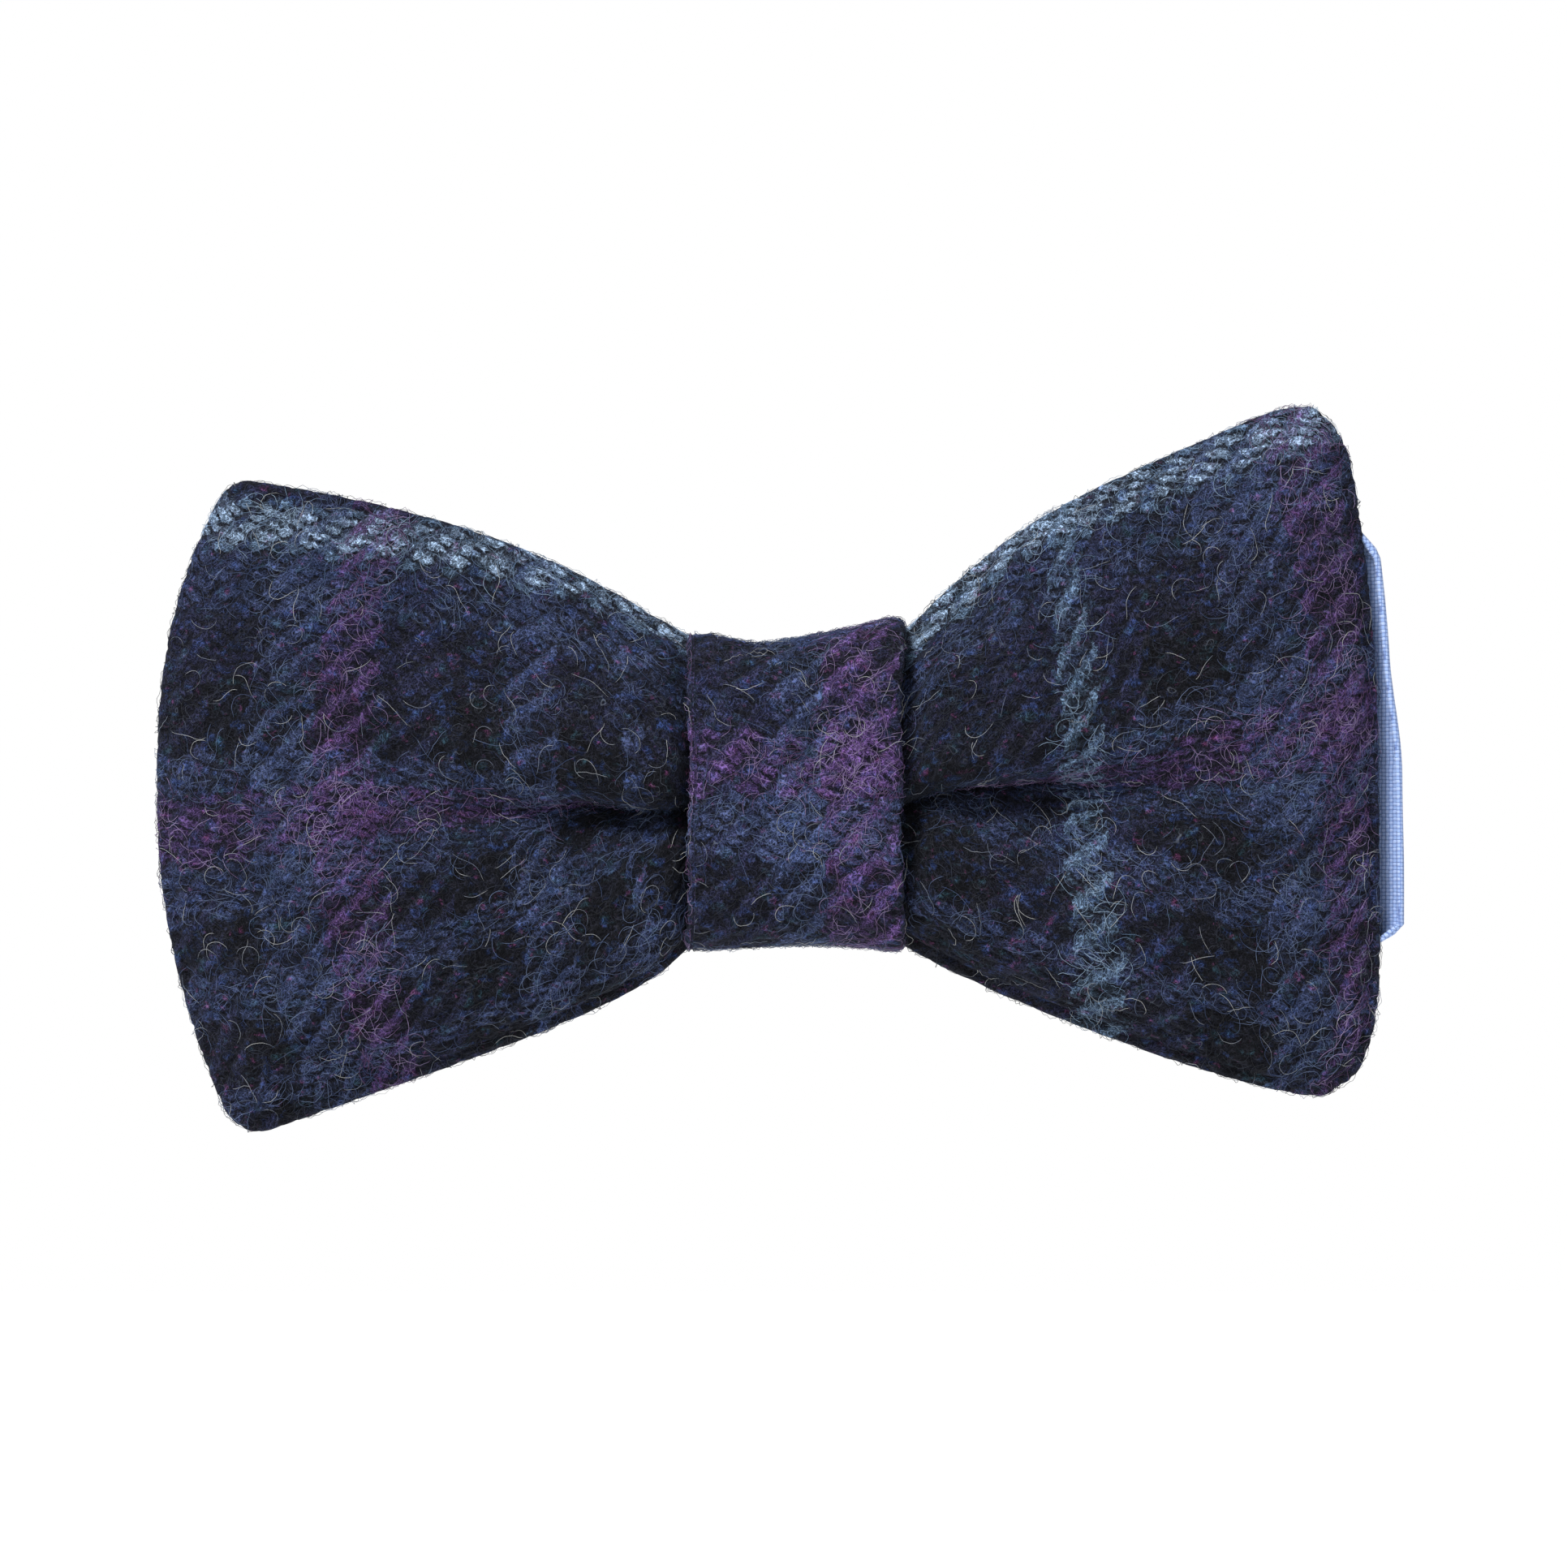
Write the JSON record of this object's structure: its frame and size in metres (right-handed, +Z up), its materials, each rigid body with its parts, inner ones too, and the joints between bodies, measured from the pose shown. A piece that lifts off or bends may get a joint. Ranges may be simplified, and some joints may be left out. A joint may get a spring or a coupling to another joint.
{
  "type": "pre-tied bow tie",
  "caption": "Pre-tied tweed bow tie: padded wings gathered in a tweed knot, with an adjustable cotton neck band, slider, hook and eye.",
  "frame": {"origin": "middle of the flat back of the knot, where it rests on the shirt collar", "axes": "+Z up as worn, -Y out of the front of the bow, +X to the right of someone looking at the bow"},
  "size_m": [0.1226, 0.1428, 0.0709],
  "materials": {
    "tweed": "brushed wool twill in navy, black and blue with purple and pale blue check lines",
    "knot_tweed": "the same brushed wool twill, cut across a purple check line",
    "wadding": "off-white wadding",
    "canvas": "stiff woven interlining",
    "blue_cotton": "light blue plain-weave cotton",
    "band_cotton": "light blue plain-weave cotton",
    "sewing_thread": "blue spun polyester thread",
    "nickel": "satin nickel plate"
  },
  "bodies": {
    "bow": {"bow_front_panel": "tweed", "bow_interlining": "wadding", "bow_back_lining": "blue_cotton", "knot_wrap": "knot_tweed", "knot_interlining": "canvas", "knot_seam_thread": "sewing_thread", "waist_binding_thread": "sewing_thread", "band_front": "band_cotton", "band_front_interlining": "canvas"},
    "strap_left": {"band_left": "band_cotton", "band_left_interlining": "canvas"},
    "strap_right": {"band_right": "band_cotton", "band_right_interlining": "canvas", "eye_bar_tack": "sewing_thread"},
    "slider": {"slider": "nickel", "slider_tab": "band_cotton", "slider_tab_stitches": "sewing_thread"},
    "hook": {"hook": "nickel"},
    "eye": {"eye": "nickel"}
  },
  "joints": [
    {"name": "strap_left_open", "type": "hinge", "parent": "bow", "child": "strap_left", "pos_m": [-0.0549, 0.0408, 0], "axis": [0, 0, 1], "range_deg": [0, 60]},
    {"name": "strap_right_open", "type": "hinge", "parent": "bow", "child": "strap_right", "pos_m": [0.0549, 0.0408, 0], "axis": [0, 0, 1], "range_deg": [-60, 0]},
    {"name": "slider_adjust", "type": "slide", "parent": "strap_left", "child": "slider", "axis": [0, 1, 0], "range_m": [-0.005, 0.009]},
    {"name": "hook_swing", "type": "hinge", "parent": "strap_left", "child": "hook", "pos_m": [-0.0095, 0.12325, 0], "axis": [0, 0, 1], "range_deg": [0, 20]},
    {"name": "eye_swing", "type": "hinge", "parent": "strap_right", "child": "eye", "pos_m": [0.0095, 0.12325, 0], "axis": [0, 0, 1], "range_deg": [0, 20]}
  ]
}
